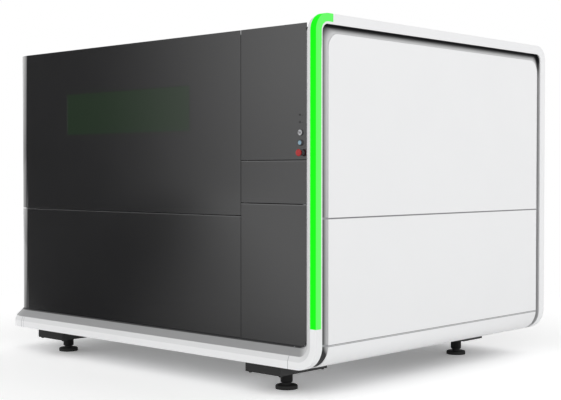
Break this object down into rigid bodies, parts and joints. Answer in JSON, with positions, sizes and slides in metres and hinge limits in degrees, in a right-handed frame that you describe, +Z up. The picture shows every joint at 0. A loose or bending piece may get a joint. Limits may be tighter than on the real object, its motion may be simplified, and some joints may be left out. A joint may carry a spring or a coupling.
{
  "type": "laser cutting machine",
  "caption": "Fully enclosed flat-bed fibre laser cutter with a lift-up door, pull-out worktable, gantry, control column and green light bar.",
  "frame": {"origin": "on the floor, at the middle of the machine's width and depth", "axes": "+X to the machine's right (the side with the light bar), +Y to its back, +Z up"},
  "size_m": [2.99, 2.404, 2.115],
  "materials": {
    "aluminium": "anodised",
    "black_paint": "semi-matt black paint",
    "black_plastic": "fine matt",
    "board_green": "module cases",
    "chrome": "polished",
    "dark_paint": "glossy charcoal paint",
    "green_lens": "glowing green diffuser",
    "grey_paint": "semi-matt grey paint",
    "pale_plastic": "lit pale blue cap",
    "red_plastic": "glossy red",
    "rubber": "matt",
    "smoked_glass": "smoked black glass",
    "steel": "bare machined steel",
    "tinted_glass": "green-tinted laser window",
    "white_paint": "satin white powder coat"
  },
  "bodies": {
    "cabinet": {"base_frame": "grey_paint", "bed_frame": "grey_paint", "belly_panel": "white_paint", "button_bezels": "chrome", "cabinet_door_pivots": "steel", "cabinet_frame": "grey_paint", "cable_glands": "black_plastic", "console_frame": "black_paint", "console_panel": "smoked_glass", "contact_blocks": "black_plastic", "corner_sill": "white_paint", "drawer_rails": "steel", "electrical_unit": "board_green", "exhaust_collar": "steel", "foot_pads": "rubber", "foot_plates": "black_paint", "foot_stems": "black_paint", "front_sill": "white_paint", "header_brackets": "grey_paint", "hinge_pins": "steel", "laser_source": "grey_paint", "left_panel_lower": "white_paint", "left_panel_upper": "white_paint", "left_plinth": "white_paint", "light_bar_channel": "aluminium", "light_bar_leds": "pale_plastic", "light_bar_lens": "green_lens", "monitor": "black_plastic", "partition_panel": "grey_paint", "rear_panels": "white_paint", "roof_panel": "white_paint", "side_hoop": "white_paint", "side_panel_lower": "white_paint", "side_panel_upper": "white_paint", "side_skin": "white_paint", "y_rails": "steel"},
    "door": {"door_skin": "dark_paint", "door_frame": "black_paint", "door_window": "tinted_glass", "door_hinge_leaves": "steel"},
    "strut_cylinders": {"strut_cylinders": "black_paint"},
    "strut_rods": {"strut_rods": "chrome"},
    "worktable": {"table_front": "dark_paint", "table_frame": "grey_paint", "table_slats": "steel", "scrap_tray": "steel"},
    "gantry": {"gantry_beam": "grey_paint", "y_blocks": "steel", "x_rails": "steel"},
    "carriage": {"carriage": "grey_paint"},
    "cutting_head": {"head_plate": "black_paint", "cutting_head": "aluminium"},
    "keyboard_drawer": {"keyboard_front": "dark_paint", "keyboard_tray": "black_paint", "keyboard": "black_plastic"},
    "cabinet_door": {"cabinet_door": "dark_paint"},
    "key_switch": {"key_switch": "chrome"},
    "start_button": {"start_button": "pale_plastic"},
    "estop_stem": {"estop_stem": "black_plastic"},
    "estop_head": {"estop_head": "red_plastic"}
  },
  "joints": [
    {"name": "door_hinge", "type": "hinge", "parent": "cabinet", "child": "door", "pos_m": [0, -1.1305, 2.059], "axis": [-1, 0, 0], "range_deg": [0, 80]},
    {"name": "strut_pivot", "type": "hinge", "parent": "cabinet", "child": "strut_cylinders", "pos_m": [0, -1.06, 1.93], "axis": [-1, 0, 0], "range_deg": [0, 85.14]},
    {"name": "strut_slide", "type": "slide", "parent": "strut_cylinders", "child": "strut_rods", "axis": [0, -0.0391, -0.9992], "range_m": [0, 0.1815]},
    {"name": "table_slide", "type": "slide", "parent": "cabinet", "child": "worktable", "axis": [0, -1, 0], "range_m": [0, 0.95]},
    {"name": "gantry_slide", "type": "slide", "parent": "cabinet", "child": "gantry", "axis": [0, -1, 0], "range_m": [0, 1]},
    {"name": "carriage_slide", "type": "slide", "parent": "gantry", "child": "carriage", "axis": [1, 0, 0], "range_m": [0, 1.5]},
    {"name": "head_slide", "type": "slide", "parent": "carriage", "child": "cutting_head", "axis": [0, 0, -1], "range_m": [0, 0.12]},
    {"name": "keyboard_slide", "type": "slide", "parent": "cabinet", "child": "keyboard_drawer", "axis": [0, -1, 0], "range_m": [0, 0.32]},
    {"name": "cabinet_door_hinge", "type": "hinge", "parent": "cabinet", "child": "cabinet_door", "pos_m": [1.357, -1.135, 0], "axis": [0, 0, 1], "range_deg": [0, 100]},
    {"name": "key_turn", "type": "hinge", "parent": "cabinet", "child": "key_switch", "pos_m": [1.332, -1.153, 1.47], "axis": [0, 1, 0], "range_deg": [0, 90]},
    {"name": "start_press", "type": "slide", "parent": "cabinet", "child": "start_button", "axis": [0, 1, 0], "range_m": [0, 0.003], "stiffness_N_per_m": 600},
    {"name": "estop_press", "type": "slide", "parent": "cabinet", "child": "estop_stem", "axis": [0, 1, 0], "range_m": [0, 0.005], "stiffness_N_per_m": 1500},
    {"name": "estop_twist", "type": "hinge", "parent": "estop_stem", "child": "estop_head", "pos_m": [1.335, -1.172, 1.359], "axis": [0, 1, 0], "range_deg": [0, 45], "stiffness_Nm_per_rad": 0.2}
  ],
  "couplings": [
    {"joint": "strut_pivot", "follows": "door_hinge", "ratio": 1.064},
    {"joint": "strut_slide", "follows": "door_hinge", "m_per_rad": 0.12988}
  ]
}
